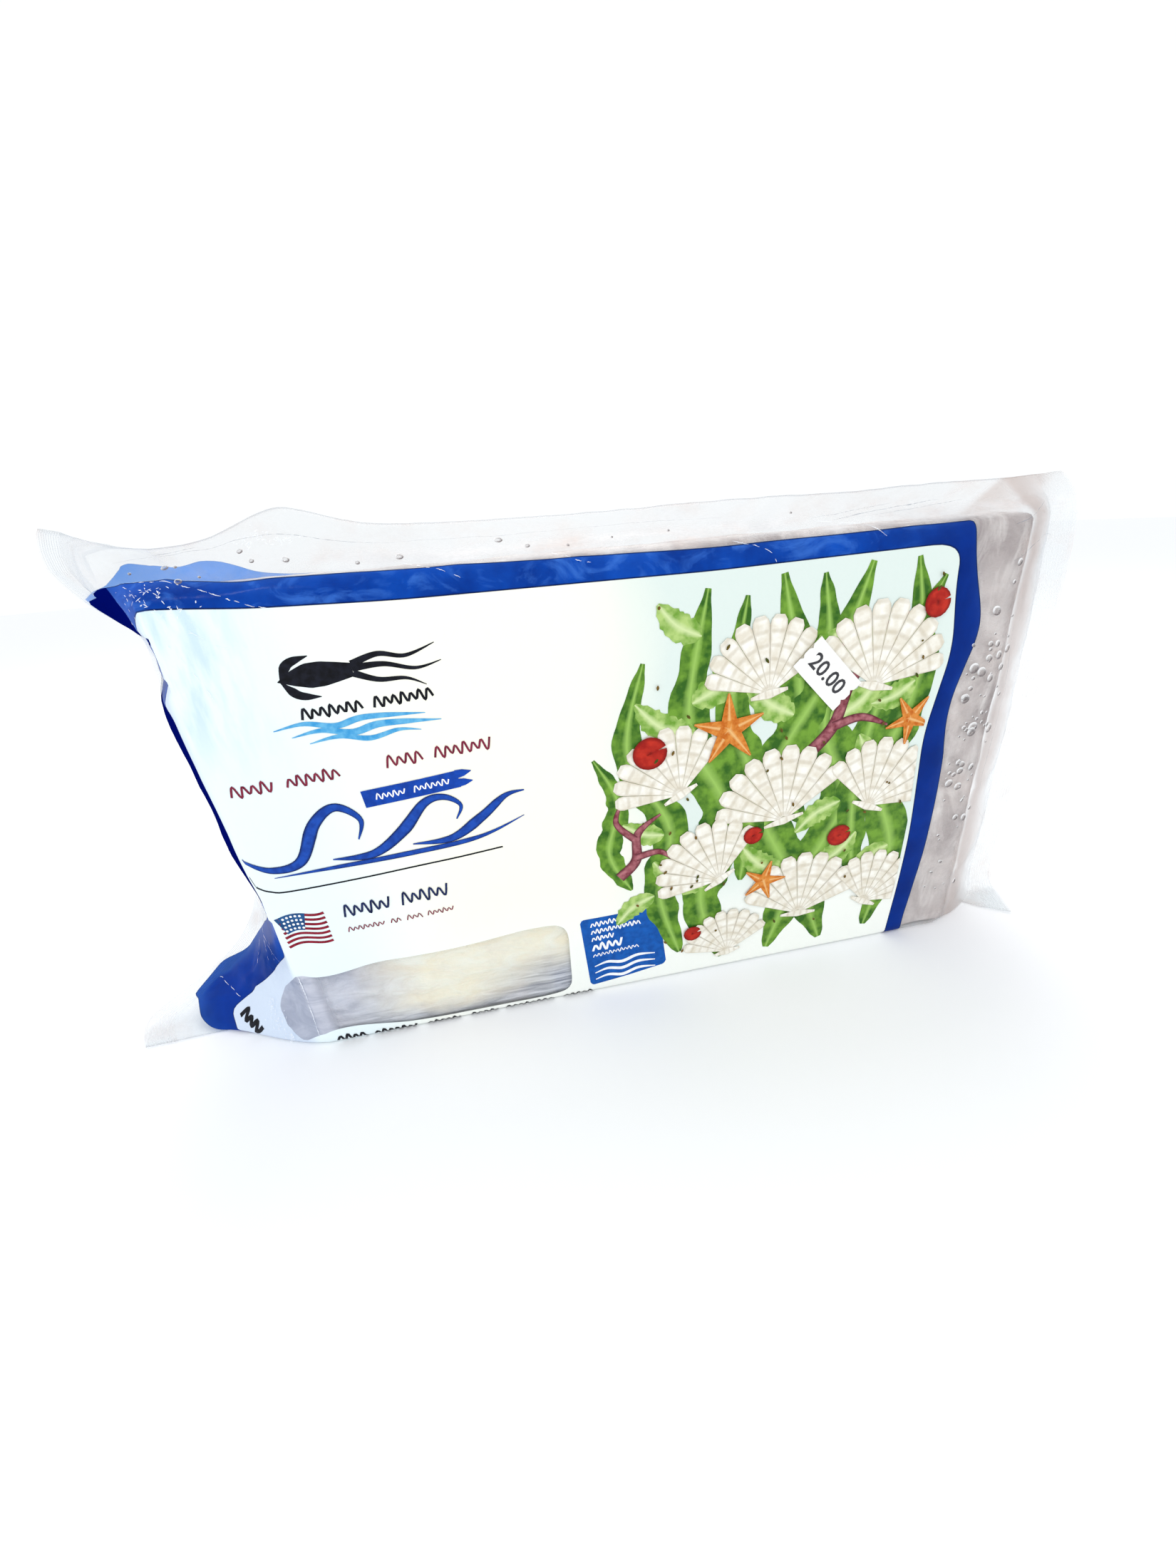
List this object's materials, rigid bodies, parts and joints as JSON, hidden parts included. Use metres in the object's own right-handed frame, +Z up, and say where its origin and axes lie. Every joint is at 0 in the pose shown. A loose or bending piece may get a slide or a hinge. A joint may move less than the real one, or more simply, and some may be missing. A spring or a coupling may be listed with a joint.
{
  "type": "frozen squid pack",
  "caption": "Sealed film bag round a flat block of frozen cleaned squid, standing on its long narrow side, with pressed end flaps, loose film along the top and a small paper price label.",
  "frame": {"origin": "middle of the block's underside, on the surface that the pack stands on", "axes": "+X along the block, from the end whose film sweeps back to the end whose flap stands out; +Y from the printed front to the back; +Z up"},
  "size_m": [0.3523, 0.0624, 0.1712],
  "materials": {
    "printed_film": "clear film, printed white and royal blue on most of its front, with the frozen block showing where it is bare",
    "label_paper": "coated white label paper"
  },
  "bodies": {
    "root": {"film_bag": "printed_film", "price_label": "label_paper"}
  },
  "joints": []
}
